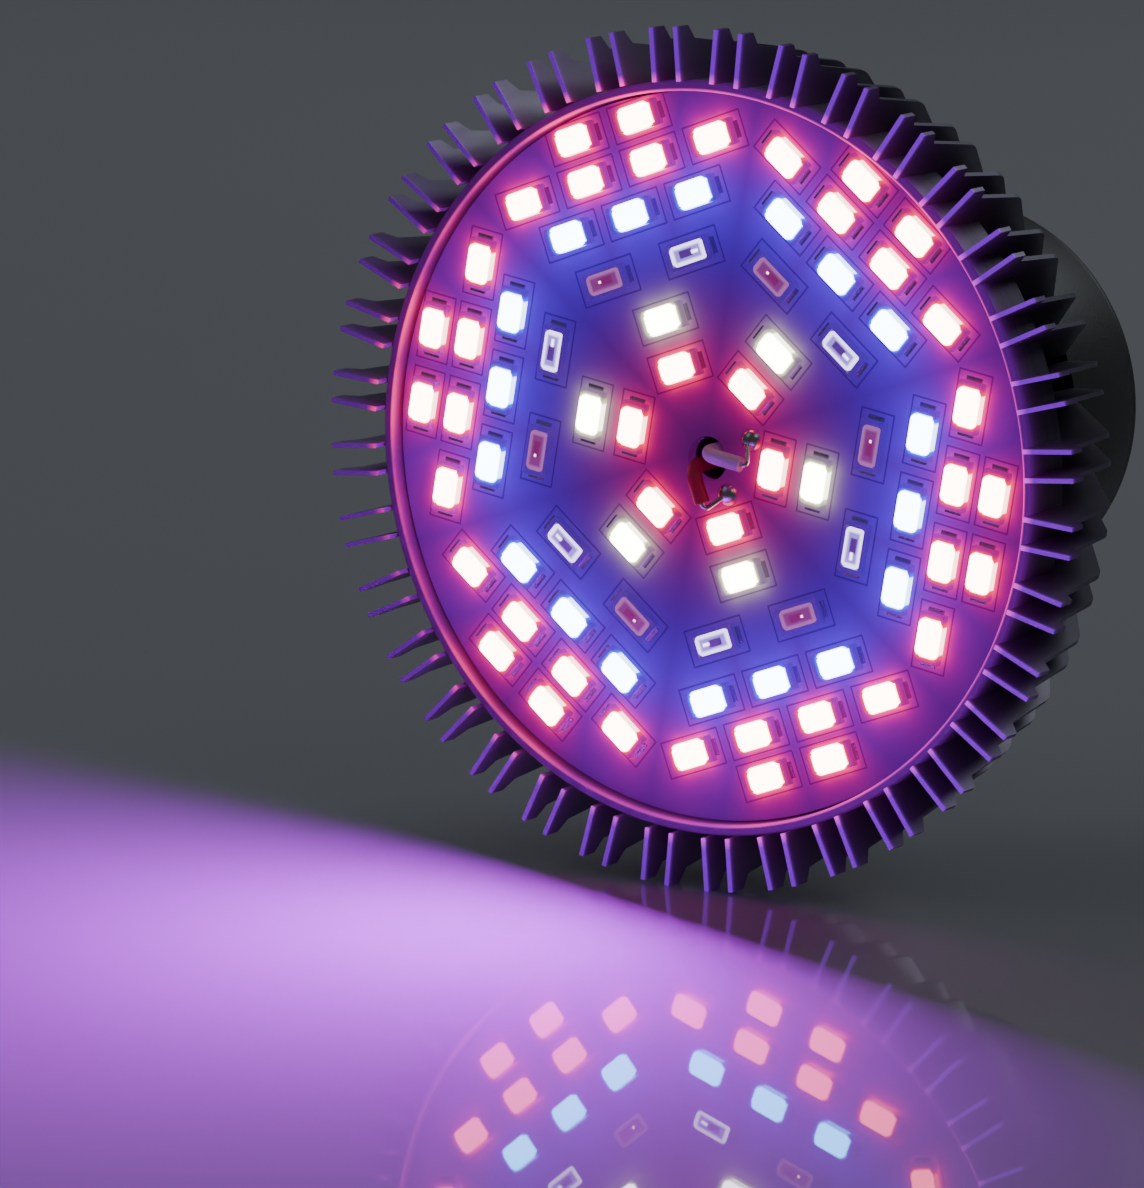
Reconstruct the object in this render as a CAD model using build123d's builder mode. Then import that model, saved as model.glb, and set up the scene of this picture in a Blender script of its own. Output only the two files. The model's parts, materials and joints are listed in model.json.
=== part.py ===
from build123d import *
from math import atan2, cos, degrees, pi, radians, sin, tan
import os

# Screw-in LED grow bulb: a round board of LEDs in an aluminium cup, a ring of folded sheet fins
# round the cup and its central tube, a plastic neck that holds the driver, and an E27 screw base.
# Millimetres. The bulb's axis is Y: the LED face looks towards -Y and the screw base towards +Y,
# with +Z up. The origin is on the axis, where the screw shell meets the neck's end collar.
# "Station" below means a place along Y; stations grow from the face towards the base.

# ---- driving dimensions -------------------------------------------------------------------

# LED board
board_diameter = 80.5
board_thickness = 1.6
wire_hole_diameter = 5.0
pad_thickness = 0.4             # thermal pad under the board
pad_margin = 1.0                # the pad is this much smaller than the board, all round

# the pattern of LEDs, printed a little off the middle of the board
sector_count = 6
sector_angle = 50.1             # first sector's middle line, from +X towards +Z
pattern_shift_x = -0.4
pattern_shift_z = 1.2
inner_red_radius = 9.2
white_radius = 14.7
sensor_ring_radius = 20.7       # ultraviolet and infrared LEDs
blue_radius = 26.7
mid_red_radius = 31.75
outer_red_radius = 36.55
led_pitch = 8.65                # between neighbours in one row of a sector
short_wave_offset = 5.75        # ultraviolet and infrared LEDs, each side of the middle line

# one LED package
led_length = 5.7
led_width = 3.0
led_height = 0.9
window_length = 4.6
window_width = 2.3
window_depth = 0.35
terminal_length = 0.45
terminal_width = 1.9
terminal_height = 0.25

# aluminium cup and tube
rim_gap = 0.25                  # between the board's edge and the cup's wall
rim_wall = 1.15
rim_rise = 1.7                  # the wall stands this far in front of the board
plate_thickness = 3.0
tube_across_flats = 42.0
tube_wall = 1.6

# fins
fin_count = 36
fin_angle = 4.5                 # first fin's middle line, from +X towards +Z
fin_sheet = 0.5
fin_gap = 0.08                  # between neighbouring folds, where they sit on the tube
fin_bend = 0.8
fin_reach = 5.95                # of the tips, beyond the cup's wall
fin_front_rise = 1.8            # the fins stand this far in front of the cup's wall
fin_tab_length = 2.4
fin_tab_step = 1.5              # down from the tab to the leg's outer edge
fin_tab_run = 1.2               # length of that sloping step
fin_knee_step = 3.0             # the knee is this much nearer the axis than the tips
fin_knee_length = 14.0          # from the fins' front to the knee
fin_knee_round = 5.0
fin_rear_reach = 3.4            # of the fins' rear end, beyond the tube

# neck
body_length = 60.5              # from the rim's front to the neck's end
neck_length = 20.0
neck_lip = 2.0
neck_overhang = 0.3             # of the neck's front beyond the fins' rear end
neck_draw = 2.0                 # the neck's end is this much smaller in radius than its front
neck_belly = 0.3
neck_edge_round = 2.5
neck_collar_radius = 15.2
neck_collar_length = 0.8
neck_wall = 1.8
cup_clearance = 0.2             # between the driver cup and the aluminium tube
cup_wall = 1.6
spigot_length = 9.0
spigot_wall = 1.6

# screws that hold the cup to the neck
screw_count = 3
screw_angle = 90.0
screw_shank_radius = 1.3
screw_head_radius = 2.5
screw_head_height = 1.4
screw_length = 8.0
screw_recess_length = 2.6
screw_recess_width = 0.6
screw_recess_depth = 0.9
boss_radius = 3.0
boss_length = 8.5

# E27 screw base
thread_major_radius = 13.1
thread_root_radius = 12.1
thread_pitch = 3.629
thread_turns = 3.3
ridge_share = 0.72              # of the pitch, taken by the thread's ridge at its foot
shell_sheet = 0.5
shell_skirt = 1.0               # plain band between the collar and the thread
shell_length = 17.5
shell_end_radius = 10.4
shell_taper = 1.8
insulator_length = 3.9
insulator_end_radius = 6.4
insulator_sink = 3.0            # how far the insulator reaches into the shell
insulator_lip = 0.4
contact_radius = 4.8
contact_rise = 1.6
contact_round_share = 0.8       # of the rise, taken by the rounded edge
contact_stem_radius = 1.6
contact_stem_setback = 1.5      # of the stem's end, inside the insulator's bore

# driver board and what stands on it
driver_board_width = 28.0
driver_board_thickness = 1.6
driver_board_drop = 5.0         # below the axis
driver_board_setback = 9.5      # from the cup plate's back
driver_rear_gap = 2.7           # from the board to the neck's end wall
rail_depth = 1.8
rail_height = 1.6
core_width = 16.0               # transformer core, across the axis
core_length = 12.0
core_height = 14.0
core_leg = 3.0
core_setback = 17.0             # from the driver board's front edge to the core's middle
smoothing_radius = 5.0          # smoothing capacitor, lying along the axis
smoothing_setback = 2.0         # of its end, from the driver board's rear edge
output_radius = 4.0             # output capacitor, standing
output_height = 11.0
output_offset = 7.5             # output capacitor, to one side of the leads
can_edge = 0.5
chip_width = 4.0
chip_length = 5.0
chip_height = 1.6
chip_pitch = 11.0
fuse_radius = 1.6
fuse_length = 8.0
fuse_lead_radius = 0.35
fuse_lead_span = 11.0
fuse_standoff = 0.8
fuse_gap = 0.6                  # between the resistor and the side of the core

# output leads to the LED board, as (x, z) on the board and height in front of it
lead_radius = 0.85
lead_height = 2.0
positive_hole_point = (-0.9, -0.7)
positive_end_point = (0.6, -4.6)
positive_solder_point = (2.6, -3.8)
negative_hole_point = (0.7, 0.9)
negative_end_point = (5.5, 0.1)
negative_solder_point = (5.6, 2.5)
conductor_radius = 0.3
conductor_reach = 0.8           # bare wire beyond the cut insulation
conductor_bend = 0.4
solder_radius = 1.3
solder_height = 0.9
lead_landing = 6.0              # length of lead that lies on the driver board
lead_rise = 5.0                 # length over which it climbs to the wire hole

# input leads from the screw base to the driver board
input_lead_radius = 0.6
input_lead_spread = 4.0         # either side of the axis, at the driver board
input_landing = 4.0
input_lead_bend = 2.0
neutral_exit = 13.0             # station where the neutral lead meets the shell

# ---- stations and sizes that follow -------------------------------------------------------

rim_front = -body_length
board_front = rim_front + rim_rise
board_back = board_front + board_thickness
plate_front = board_back + pad_thickness
plate_back = plate_front + plate_thickness
fin_front = rim_front - fin_front_rise
neck_front = -neck_length
board_radius = board_diameter / 2
rim_inner_radius = board_radius + rim_gap
rim_outer_radius = rim_inner_radius + rim_wall
tube_flat = tube_across_flats / 2
tube_inner_radius = tube_flat - tube_wall
cup_outer_radius = tube_inner_radius - cup_clearance
cup_inner_radius = cup_outer_radius - cup_wall
fin_width = 2 * tube_flat * tan(pi / fin_count) - fin_gap
fin_tip_radius = rim_outer_radius + fin_reach
fin_rear_radius = tube_flat + fin_rear_reach
neck_front_radius = fin_rear_radius + neck_overhang
neck_end_radius = neck_front_radius - neck_draw
neck_end = -neck_collar_length
spigot_radius = thread_root_radius - shell_sheet
spigot_bore = spigot_radius - spigot_wall
insulator_front = shell_length - insulator_sink
insulator_back = shell_length + insulator_length
wire_hole_radius = wire_hole_diameter / 2
screw_circle_radius = cup_inner_radius - boss_radius / 2
sink_angle = 2 * degrees(atan2(screw_head_radius - screw_shank_radius, screw_head_height))

os.makedirs("parts", exist_ok=True)


def save(builder, name):
    """Name a finished piece and write it as its own file."""
    builder.part.label = name
    export_step(builder.part, "parts/" + name + ".step")


def station(y):
    """The plane across the axis at y, seen from the face: +X to the right, +Z up."""
    return Plane.XZ.offset(-y)


def radial_plane(angle):
    """A plane through the axis: local x runs outwards at this angle, local y along +Y."""
    turn = radians(angle)
    return Plane(origin=(0, 0, 0), x_dir=(cos(turn), 0, sin(turn)), z_dir=(-sin(turn), 0, cos(turn)))


# ---- LED positions ------------------------------------------------------------------------

# one sector's LEDs: kind, offset along the row, radius of the row
sector_layout = [
    ("red", -led_pitch / 2, outer_red_radius),
    ("red", led_pitch / 2, outer_red_radius),
    ("red", -1.5 * led_pitch, mid_red_radius),
    ("red", -led_pitch / 2, mid_red_radius),
    ("red", led_pitch / 2, mid_red_radius),
    ("red", 1.5 * led_pitch, mid_red_radius),
    ("blue", -led_pitch, blue_radius),
    ("blue", 0, blue_radius),
    ("blue", led_pitch, blue_radius),
    ("ultraviolet", -short_wave_offset, sensor_ring_radius),
    ("infrared", short_wave_offset, sensor_ring_radius),
    ("white", 0, white_radius),
    ("red", 0, inner_red_radius),
]


def led_places(kinds):
    """Locations on the board for the LEDs of these kinds, long side along the row."""
    places = []
    for sector in range(sector_count):
        angle = sector_angle + sector * 360 / sector_count
        turn = radians(angle)
        for kind, along, out in sector_layout:
            if kind in kinds:
                x = pattern_shift_x + out * cos(turn) - along * sin(turn)
                z = pattern_shift_z + out * sin(turn) + along * cos(turn)
                places.append(Location((x, z), angle + 90))
    return places


led_kinds = ["red", "blue", "ultraviolet", "infrared", "white"]
every_led = led_places(led_kinds)

# ---- aluminium cup with its tube ----------------------------------------------------------

with BuildPart() as heatsink_core:
    with BuildSketch(Plane.XY):
        with BuildLine():
            Polyline(
                (0, plate_front),
                (rim_inner_radius, plate_front),
                (rim_inner_radius, rim_front),
                (rim_outer_radius, rim_front),
                (rim_outer_radius, plate_back),
                (0, plate_back),
                close=True,
            )
        make_face()
    revolve(axis=Axis.Y)
    # the tube is faceted outside, one flat for each fin
    with BuildSketch(station(neck_front)):
        RegularPolygon(
            tube_flat, fin_count, major_radius=False, rotation=fin_angle + 180 / fin_count
        )
        Circle(tube_inner_radius, mode=Mode.SUBTRACT)
    extrude(amount=neck_front - plate_back)
    with BuildSketch(station(plate_back)):
        Circle(wire_hole_radius)
    extrude(amount=plate_thickness, mode=Mode.SUBTRACT)
    with Locations(station(plate_front)):
        with PolarLocations(screw_circle_radius, screw_count, start_angle=screw_angle):
            CounterSinkHole(
                screw_shank_radius, screw_head_radius, plate_thickness, counter_sink_angle=sink_angle
            )
    mouth = heatsink_core.edges().filter_by(GeomType.CIRCLE).filter_by(
        lambda edge: abs(edge.center().Y - rim_front) < 0.01
    )
    chamfer(mouth, 0.2)
save(heatsink_core, "heatsink_core")

# ---- folded fins --------------------------------------------------------------------------

tab_end = fin_front + fin_tab_length
knee = (fin_tip_radius - fin_knee_step, fin_front + fin_knee_length)

for number in range(fin_count):
    middle = radial_plane(fin_angle + number * 360 / fin_count)
    with BuildPart() as fin:
        # one leg's outline, from the tube round the cup's wall to the tips and back
        with BuildSketch(middle) as leg_outline:
            with BuildLine():
                Polyline(
                    (tube_flat, neck_front),
                    (tube_flat, plate_back),
                    (rim_outer_radius, plate_back),
                    (rim_outer_radius, fin_front),
                    (fin_tip_radius, fin_front),
                    (fin_tip_radius, tab_end),
                    (fin_tip_radius - fin_tab_step, tab_end + fin_tab_run),
                    knee,
                    (fin_rear_radius, neck_front),
                    close=True,
                )
            make_face()
            fillet(leg_outline.vertices().sort_by_distance(knee)[0], fin_knee_round)
        extrude(amount=fin_width / 2, both=True)
        # the channel between the two legs, open all round except at the web on the tube
        with BuildSketch(middle):
            with Locations((tube_flat + fin_sheet, fin_front)):
                Rectangle(
                    fin_tip_radius,
                    neck_front - fin_front,
                    align=(Align.MIN, Align.MIN),
                )
        extrude(amount=fin_width / 2 - fin_sheet, both=True, mode=Mode.SUBTRACT)
        web = fin.faces().sort_by_distance((0, (plate_back + neck_front) / 2, 0))[0]
        fillet(web.edges().filter_by(Axis.Y), fin_bend)
    save(fin, "fin_%02d" % (number + 1))

# ---- LED board ----------------------------------------------------------------------------

with BuildPart() as led_board:
    with BuildSketch(station(board_back)):
        Circle(board_radius)
        Circle(wire_hole_radius, mode=Mode.SUBTRACT)
    extrude(amount=board_thickness)
save(led_board, "led_board")

with BuildPart() as thermal_pad:
    with BuildSketch(station(plate_front)):
        Circle(board_radius - pad_margin)
        Circle(wire_hole_radius, mode=Mode.SUBTRACT)
        with PolarLocations(screw_circle_radius, screw_count, start_angle=screw_angle):
            Circle(screw_head_radius, mode=Mode.SUBTRACT)
    extrude(amount=pad_thickness)
save(thermal_pad, "thermal_pad")

# each LED's plastic body, with the well that its window fills
with BuildPart() as led_housings:
    with BuildSketch(station(board_front)):
        with Locations(*every_led):
            Rectangle(led_length, led_width)
    extrude(amount=led_height)
    with BuildSketch(station(board_front - led_height)):
        with Locations(*every_led):
            RectangleRounded(window_length, window_width, window_width * 0.3)
    extrude(amount=-window_depth, mode=Mode.SUBTRACT)
save(led_housings, "led_housings")

# soldered end tabs, one at each end of every LED
with BuildPart() as led_terminals:
    with BuildSketch(station(board_front)):
        with Locations(*every_led):
            with GridLocations(led_length + terminal_length, 0, 2, 1):
                Rectangle(terminal_length, terminal_width)
    extrude(amount=terminal_height)
save(led_terminals, "led_terminals")

for kind in led_kinds:
    with BuildPart() as windows:
        with BuildSketch(station(board_front - led_height + window_depth)):
            with Locations(*led_places([kind])):
                RectangleRounded(window_length, window_width, window_width * 0.3)
        extrude(amount=window_depth)
    save(windows, kind + "_windows")

# ---- neck with its driver cup -------------------------------------------------------------

edge_start = neck_end - neck_edge_round
edge_share = neck_edge_round * (1 - cos(pi / 4))
neck_bow_radius = (neck_front_radius + neck_end_radius) / 2 + neck_belly
neck_bow_station = (neck_front + neck_lip + edge_start) / 2
hollow_end = neck_end - neck_wall
rail_centre = -driver_board_drop
rail_outer_height = 2 * rail_height + driver_board_thickness
driver_front = plate_back + driver_board_setback
driver_back = hollow_end - driver_rear_gap

with BuildPart() as neck_housing:
    with BuildSketch(Plane.XY):
        with BuildLine():
            Polyline(
                (0, neck_front),
                (neck_front_radius, neck_front),
                (neck_front_radius, neck_front + neck_lip),
            )
            ThreePointArc(
                (neck_front_radius, neck_front + neck_lip),
                (neck_bow_radius, neck_bow_station),
                (neck_end_radius, edge_start),
            )
            ThreePointArc(
                (neck_end_radius, edge_start),
                (neck_end_radius - edge_share, neck_end - edge_share),
                (neck_end_radius - neck_edge_round, neck_end),
            )
            Polyline(
                (neck_end_radius - neck_edge_round, neck_end),
                (neck_collar_radius, neck_end),
                (neck_collar_radius, 0),
                (spigot_radius, 0),
                (spigot_radius, spigot_length),
                (0, spigot_length),
                (0, neck_front),
            )
        make_face()
    revolve(axis=Axis.Y)
    # the driver cup runs forwards inside the aluminium tube
    with BuildSketch(station(neck_front)):
        Circle(cup_outer_radius)
    extrude(amount=neck_front - plate_back)
    # one hollow from the cup's mouth through the neck to the spigot
    with BuildSketch(Plane.XY):
        with BuildLine():
            Polyline(
                (0, plate_back),
                (cup_inner_radius, plate_back),
                (cup_inner_radius, neck_front + neck_lip),
                (neck_front_radius - neck_wall, neck_front + neck_lip),
                (neck_end_radius - neck_wall, hollow_end),
                (spigot_bore, hollow_end),
                (spigot_bore, spigot_length),
                (0, spigot_length),
                close=True,
            )
        make_face()
    revolve(axis=Axis.Y, mode=Mode.SUBTRACT)
    # screw bosses at the cup's mouth
    with BuildSketch(station(plate_back)):
        with PolarLocations(screw_circle_radius, screw_count, start_angle=screw_angle):
            Circle(boss_radius)
    extrude(amount=-boss_length)
    # guide rails for the driver board, one on each side of the cup
    with BuildSketch(station(driver_front)):
        with Locations((0, rail_centre)):
            Rectangle(2 * cup_inner_radius + 1, rail_outer_height)
            Rectangle(driver_board_width - 2 * rail_depth, rail_outer_height, mode=Mode.SUBTRACT)
            Rectangle(driver_board_width, driver_board_thickness, mode=Mode.SUBTRACT)
        Circle(cup_inner_radius + 0.5, mode=Mode.INTERSECT)
    extrude(amount=driver_front - neck_front)
    with BuildSketch(station(plate_back)):
        with PolarLocations(screw_circle_radius, screw_count, start_angle=screw_angle):
            Circle(screw_shank_radius)
    extrude(amount=-boss_length, mode=Mode.SUBTRACT)
save(neck_housing, "neck_housing")

with BuildPart() as neck_screws:
    with BuildSketch(station(plate_front)):
        with PolarLocations(screw_circle_radius, screw_count, start_angle=screw_angle):
            Circle(screw_shank_radius)
    extrude(amount=-screw_length)
    with Locations(station(plate_front)):
        with PolarLocations(screw_circle_radius, screw_count, start_angle=screw_angle):
            Cone(
                screw_shank_radius,
                screw_head_radius,
                screw_head_height,
                align=(Align.CENTER, Align.CENTER, Align.MAX),
            )
            # cross recess
            Box(
                screw_recess_length,
                screw_recess_width,
                screw_recess_depth,
                align=(Align.CENTER, Align.CENTER, Align.MAX),
                mode=Mode.SUBTRACT,
            )
            Box(
                screw_recess_width,
                screw_recess_length,
                screw_recess_depth,
                align=(Align.CENTER, Align.CENTER, Align.MAX),
                mode=Mode.SUBTRACT,
            )
save(neck_screws, "neck_screws")

# ---- driver -------------------------------------------------------------------------------

board_top = rail_centre + driver_board_thickness / 2
board_underside = rail_centre - driver_board_thickness / 2
driver_middle = (driver_front + driver_back) / 2
core_station = driver_front + core_setback

with BuildPart() as driver_board:
    with BuildSketch(Plane.XY.offset(board_underside)):
        with Locations((0, driver_middle)):
            Rectangle(driver_board_width, driver_back - driver_front)
    extrude(amount=driver_board_thickness)
save(driver_board, "driver_board")

# a ferrite frame with its winding on the middle leg
with BuildPart() as driver_transformer:
    with BuildSketch(Plane.XY.offset(board_top)):
        with Locations((0, core_station)):
            Rectangle(core_width, core_length)
            with GridLocations((core_width - core_leg) / 2, 0, 2, 1):
                Rectangle((core_width - 3 * core_leg) / 2, core_length - 2 * core_leg, mode=Mode.SUBTRACT)
    extrude(amount=core_height)
    with BuildSketch(Plane.XY.offset(board_top + core_leg / 2)):
        with Locations((0, core_station)):
            Rectangle(core_width - 2 * core_leg, core_length - 2 * core_leg)
    extrude(amount=core_height - core_leg)
save(driver_transformer, "driver_transformer")

smoothing_station = core_station + core_length / 2 + 1
output_station = core_station - core_length / 2 - output_radius - 1

with BuildPart() as driver_capacitors:
    with BuildSketch(station(smoothing_station)):
        with Locations((0, board_top + smoothing_radius)):
            Circle(smoothing_radius)
    extrude(amount=smoothing_station + smoothing_setback - driver_back)
    with BuildSketch(Plane.XY.offset(board_top)):
        with Locations((output_offset, output_station)):
            Circle(output_radius)
    extrude(amount=output_height)
    fillet(driver_capacitors.edges().filter_by(GeomType.CIRCLE), can_edge)
save(driver_capacitors, "driver_capacitors")

# rectifier and controller on the underside
with BuildPart() as driver_chips:
    with BuildSketch(Plane.XY.offset(board_underside)):
        with Locations((0, driver_middle)):
            with GridLocations(0, chip_pitch, 1, 3):
                Rectangle(chip_width, chip_length)
    extrude(amount=-chip_height)
save(driver_chips, "driver_chips")

# fusible resistor lying along the board, clear of the transformer's side
fuse_x = core_width / 2 + fuse_gap + fuse_radius
fuse_z = board_top + fuse_standoff + fuse_radius
fuse_start = driver_back - 1 - (fuse_lead_span + fuse_length) / 2

with BuildPart() as fuse_resistor:
    with BuildSketch(station(fuse_start)):
        with Locations((fuse_x, fuse_z)):
            Circle(fuse_radius)
    extrude(amount=-fuse_length)
    fillet(fuse_resistor.edges().filter_by(GeomType.CIRCLE), fuse_radius / 3)
    with BuildLine():
        FilletPolyline(
            (fuse_x, fuse_start + (fuse_length - fuse_lead_span) / 2, board_top),
            (fuse_x, fuse_start + (fuse_length - fuse_lead_span) / 2, fuse_z),
            (fuse_x, fuse_start + (fuse_length + fuse_lead_span) / 2, fuse_z),
            (fuse_x, fuse_start + (fuse_length + fuse_lead_span) / 2, board_top),
            radius=2 * fuse_lead_radius,
        )
    with BuildSketch(Plane.XY.offset(board_top)):
        with Locations((fuse_x, fuse_start + (fuse_length - fuse_lead_span) / 2)):
            Circle(fuse_lead_radius)
    sweep()
save(fuse_resistor, "fuse_resistor")

# ---- output leads -------------------------------------------------------------------------


def output_lead_route(hole_point, end_point):
    """Corners of a lead from the driver board, through the wire hole and over the LED board."""
    lying = board_top + lead_radius
    return [
        (hole_point[0], driver_front + lead_landing, lying),
        (hole_point[0], driver_front - lead_radius, lying),
        (hole_point[0], driver_front - lead_radius - lead_rise, hole_point[1]),
        (hole_point[0], board_front - lead_height, hole_point[1]),
        (end_point[0], board_front - lead_height, end_point[1]),
    ]


output_leads = [
    ("positive_lead", positive_hole_point, positive_end_point),
    ("negative_lead", negative_hole_point, negative_end_point),
]
for lead_name, hole_point, end_point in output_leads:
    corners = output_lead_route(hole_point, end_point)
    with BuildPart() as lead:
        with BuildLine():
            FilletPolyline(*corners, radius=[3 * lead_radius, 3 * lead_radius, 2.2 * lead_radius])
        with BuildSketch(station(driver_front + lead_landing)):
            with Locations((corners[0][0], corners[0][2])):
                Circle(lead_radius)
        sweep()
    save(lead, lead_name)

# each lead's bare end, bent down into a dome of solder on the board
dome_radius = (solder_radius**2 + solder_height**2) / (2 * solder_height)
bare_ends = [
    (positive_hole_point, positive_end_point, positive_solder_point),
    (negative_hole_point, negative_end_point, negative_solder_point),
]

with BuildPart() as solder_joints:
    for hole_point, end_point, solder_point in bare_ends:
        with Locations((solder_point[0], board_front - solder_height + dome_radius, solder_point[1])):
            Sphere(dome_radius)
    split(bisect_by=station(board_front), keep=Keep.TOP)
    for hole_point, end_point, solder_point in bare_ends:
        tip = board_front - lead_height
        run = Vector(end_point[0] - hole_point[0], 0, end_point[1] - hole_point[1]).normalized()
        cut = Vector(end_point[0], tip, end_point[1])
        with BuildLine() as bare_route:
            FilletPolyline(
                cut,
                cut + run * conductor_reach,
                (solder_point[0], board_front - solder_height / 2, solder_point[1]),
                radius=conductor_bend,
            )
        with BuildSketch(Plane(origin=cut, z_dir=run)):
            Circle(conductor_radius)
        sweep(path=bare_route.line)
save(solder_joints, "solder_joints")

# ---- screw base ---------------------------------------------------------------------------

shell_inner_radius = thread_root_radius - shell_sheet
shell_end_inner_radius = shell_end_radius - shell_sheet
taper_start = shell_length - shell_taper
thread_rise = thread_turns * thread_pitch
ridge_half = thread_pitch * ridge_share / 2
thread_start = shell_skirt + ridge_half

with BuildPart() as screw_shell:
    with BuildSketch(Plane.XY):
        with BuildLine():
            Polyline(
                (shell_inner_radius, 0),
                (thread_root_radius, 0),
                (thread_root_radius, taper_start),
                (shell_end_radius, shell_length),
                (shell_end_inner_radius, shell_length),
                (shell_inner_radius, taper_start),
                close=True,
            )
        make_face()
    revolve(axis=Axis.Y)
    # rounded right-hand thread, sunk half the sheet into the shell so that the two fuse
    with BuildLine() as thread_route:
        Helix(
            thread_pitch,
            thread_rise,
            thread_root_radius,
            center=(0, thread_start, 0),
            direction=(0, 1, 0),
        )
    beginning = thread_route.line @ 0
    outwards = Vector(beginning.X, 0, beginning.Z).normalized()
    with BuildSketch(Plane(origin=beginning, x_dir=outwards, z_dir=thread_route.line % 0)):
        with BuildLine():
            Polyline(
                (0, -ridge_half),
                (-shell_sheet / 2, -ridge_half),
                (-shell_sheet / 2, ridge_half),
                (0, ridge_half),
            )
            ThreePointArc(
                (0, ridge_half),
                (thread_major_radius - thread_root_radius, 0),
                (0, -ridge_half),
            )
        make_face()
    sweep(path=thread_route.line, is_frenet=True)
save(screw_shell, "screw_shell")

with BuildPart() as base_insulator:
    with BuildSketch(Plane.XY):
        with BuildLine():
            Polyline(
                (contact_stem_radius, insulator_front),
                (shell_inner_radius, insulator_front),
                (shell_inner_radius, taper_start),
                (shell_end_inner_radius, shell_length),
                (shell_end_radius, shell_length),
                (shell_end_radius, shell_length + insulator_lip),
                (insulator_end_radius, insulator_back),
                (contact_stem_radius, insulator_back),
                close=True,
            )
        make_face()
    revolve(axis=Axis.Y)
save(base_insulator, "base_insulator")

stem_front = insulator_front + contact_stem_setback

with BuildPart() as centre_contact:
    with BuildSketch(station(insulator_back)):
        Circle(contact_radius)
    extrude(amount=-contact_rise)
    with BuildSketch(station(insulator_back)):
        Circle(contact_stem_radius)
    extrude(amount=insulator_back - stem_front)
    rim = centre_contact.edges().filter_by(GeomType.CIRCLE).sort_by(Axis.Y)[-1]
    fillet(rim, contact_rise * contact_round_share)
save(centre_contact, "centre_contact")

# ---- input leads --------------------------------------------------------------------------

input_lying = board_top + input_lead_radius
input_start = driver_back - input_landing
# a flat cut end just meets the curve of the shell
shell_meeting = shell_inner_radius - input_lead_radius**2 / (2 * shell_inner_radius)

live_corners = [
    (input_lead_spread, input_start, input_lying),
    (input_lead_spread, edge_start - input_landing, input_lying),
    (0, spigot_length / 2, 0),
    (0, stem_front, 0),
]
neutral_corners = [
    (-input_lead_spread, input_start, input_lying),
    (-input_lead_spread, edge_start - input_landing, input_lying),
    (-input_lead_spread, spigot_length / 2, 0),
    (-input_lead_spread, neutral_exit, 0),
    (-shell_meeting, neutral_exit, 0),
]

with BuildPart() as input_leads:
    for corners in (live_corners, neutral_corners):
        with BuildLine() as input_route:
            FilletPolyline(*corners, radius=input_lead_bend)
        with BuildSketch(station(input_start)):
            with Locations((corners[0][0], input_lying)):
                Circle(input_lead_radius)
        sweep(path=input_route.line)
save(input_leads, "input_leads")
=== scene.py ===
import json
from math import atan2, cos, pi, radians, sin, sqrt

import bmesh
import bpy
from mathutils import Matrix, Vector


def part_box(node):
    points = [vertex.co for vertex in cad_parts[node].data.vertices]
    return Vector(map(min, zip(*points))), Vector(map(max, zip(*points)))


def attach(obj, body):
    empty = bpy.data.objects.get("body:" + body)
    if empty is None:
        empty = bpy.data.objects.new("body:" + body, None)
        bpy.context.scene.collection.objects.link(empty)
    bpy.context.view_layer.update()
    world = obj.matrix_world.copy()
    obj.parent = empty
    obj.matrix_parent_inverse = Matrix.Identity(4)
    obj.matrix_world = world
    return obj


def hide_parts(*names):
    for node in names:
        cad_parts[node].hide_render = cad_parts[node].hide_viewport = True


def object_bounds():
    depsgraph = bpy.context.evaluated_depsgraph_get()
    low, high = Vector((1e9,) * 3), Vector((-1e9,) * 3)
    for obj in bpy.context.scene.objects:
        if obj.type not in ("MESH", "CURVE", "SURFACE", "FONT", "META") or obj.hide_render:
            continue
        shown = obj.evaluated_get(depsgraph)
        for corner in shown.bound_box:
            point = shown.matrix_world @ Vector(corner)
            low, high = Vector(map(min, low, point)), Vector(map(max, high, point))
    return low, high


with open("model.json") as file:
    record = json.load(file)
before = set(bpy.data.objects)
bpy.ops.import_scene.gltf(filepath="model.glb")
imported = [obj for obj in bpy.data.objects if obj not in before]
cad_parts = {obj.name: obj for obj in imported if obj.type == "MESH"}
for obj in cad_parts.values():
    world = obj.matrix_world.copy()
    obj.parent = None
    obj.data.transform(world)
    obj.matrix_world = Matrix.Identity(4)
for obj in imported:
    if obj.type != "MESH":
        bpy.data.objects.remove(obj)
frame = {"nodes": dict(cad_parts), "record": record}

cad_low, cad_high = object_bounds()

MM = 0.001

# ---- places taken from the frame ----------------------------------------------------------

board_low, board_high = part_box("led_board")

board_front = board_low.y
board_radius = (board_high.x - board_low.x) / 2
led_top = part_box("led_housings")[0].y
rim_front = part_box("heatsink_core")[0].y
fin_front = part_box("fin_01")[0].y
floor_height = cad_low.z

# ---- the LED pattern, as in the CAD -------------------------------------------------------

SECTORS = 6
SECTOR_ANGLE = radians(50.1)
PATTERN_MIDDLE = Vector((-0.4, 0.0, 1.2)) * MM
LED_PITCH = 8.65
INNER_RED, WHITE, PALE, BLUE, MID_RED, OUTER_RED = 9.2, 14.7, 20.7, 26.7, 31.75, 36.55
PALE_OFFSET = 5.75

# half a sector, as (offset along the row, radius of the row) in millimetres
HALF_SECTOR = {
    "red": [
        (LED_PITCH / 2, OUTER_RED),
        (LED_PITCH / 2, MID_RED),
        (1.5 * LED_PITCH, MID_RED),
        (0, INNER_RED),
    ],
    "blue": [(0, BLUE), (LED_PITCH, BLUE)],
    "white": [(0, WHITE)],
    "pale": [(PALE_OFFSET, PALE)],
}

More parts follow.
